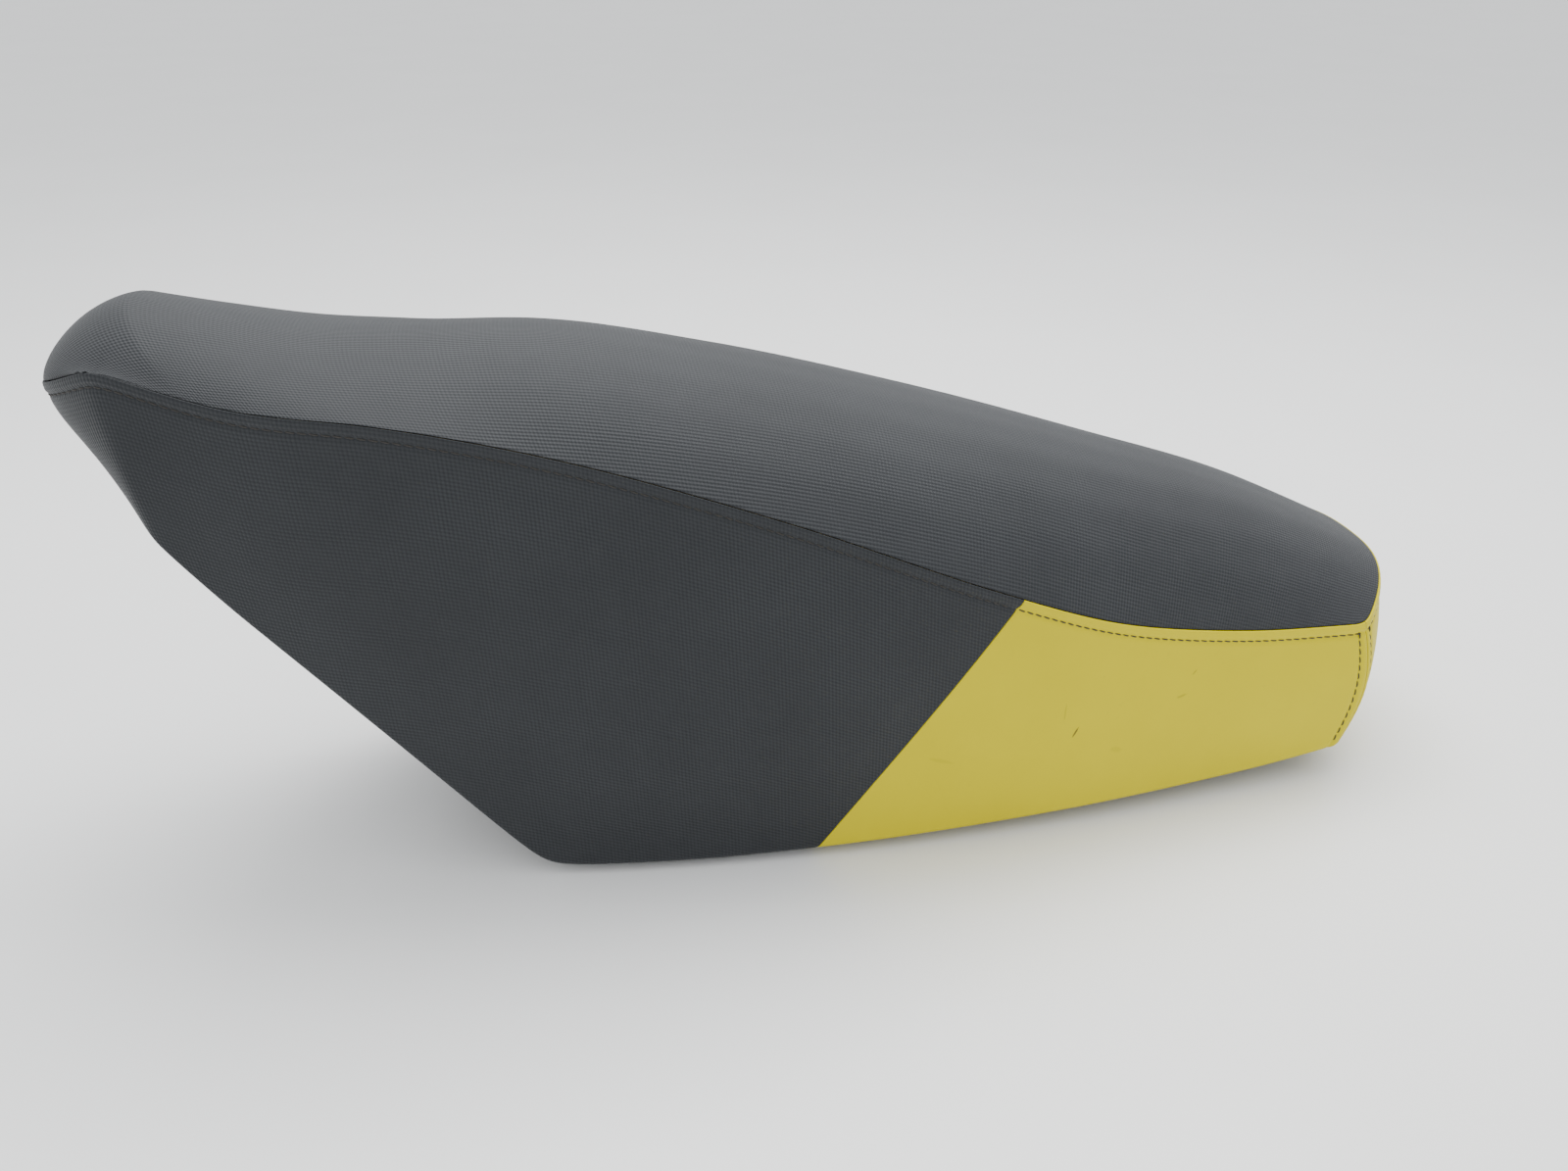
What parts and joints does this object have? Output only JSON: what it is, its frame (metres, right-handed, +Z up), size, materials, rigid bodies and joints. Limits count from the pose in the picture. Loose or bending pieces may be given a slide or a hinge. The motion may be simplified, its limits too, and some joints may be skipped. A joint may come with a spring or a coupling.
{
  "type": "snowmobile seat",
  "caption": "Long snowmobile seat with a raised nose, a saddle that falls to a yellow tail, a ramped moulded pan, rubber feet, front tongues and a sprung tail latch.",
  "frame": {"origin": "middle of the seat's bounding box, at the level of the bumper soles", "axes": "+X towards the tail, nose at -X, +Z up, -Y is the rider's left"},
  "size_m": [0.9741, 0.3022, 0.404],
  "materials": {
    "dark_vinyl": "satin vinyl with a fine embossed weave",
    "yellow_vinyl": "smooth satin vinyl, lightly scuffed",
    "foam": "open-cell polyurethane foam, matt",
    "film": "thin clear film",
    "pan_plastic": "black moulded polyethylene, fine grain",
    "bumper_rubber": "matt black rubber",
    "bare_steel": "plain steel",
    "zinc_steel": "zinc-plated steel",
    "grip_plastic": "black moulded grip"
  },
  "bodies": {
    "seat": {"bumper_front_left": "bumper_rubber", "bumper_front_right": "bumper_rubber", "bumper_rear_left": "bumper_rubber", "bumper_rear_right": "bumper_rubber", "cover_rear": "yellow_vinyl", "cover_rear_side_left": "yellow_vinyl", "cover_rear_side_right": "yellow_vinyl", "cover_side_left": "dark_vinyl", "cover_side_right": "dark_vinyl", "cover_top": "dark_vinyl", "foam_core": "foam", "front_tongue_left": "bare_steel", "front_tongue_right": "bare_steel", "latch_bracket": "zinc_steel", "latch_pivot": "bare_steel", "latch_pivot_nut": "bare_steel", "latch_screw_1": "zinc_steel", "latch_screw_2": "zinc_steel", "latch_screw_3": "zinc_steel", "latch_screw_4": "zinc_steel", "latch_spring": "bare_steel", "moisture_barrier": "film", "seat_base": "pan_plastic", "tee_nut_1": "zinc_steel", "tee_nut_2": "zinc_steel", "tee_nut_3": "zinc_steel", "tee_nut_4": "zinc_steel", "tongue_rivet_1": "bare_steel", "tongue_rivet_2": "bare_steel", "tongue_rivet_3": "bare_steel", "tongue_rivet_4": "bare_steel"},
    "latch": {"latch_hook": "zinc_steel", "latch_grip": "grip_plastic"}
  },
  "joints": [
    {"name": "latch_release", "type": "hinge", "parent": "seat", "child": "latch", "pos_m": [0.38449, 0, 0.03376], "axis": [-0.0341, 0, 0.9994], "range_deg": [0, 30], "stiffness_Nm_per_rad": 0.4, "deforming": ["latch_spring"]}
  ]
}
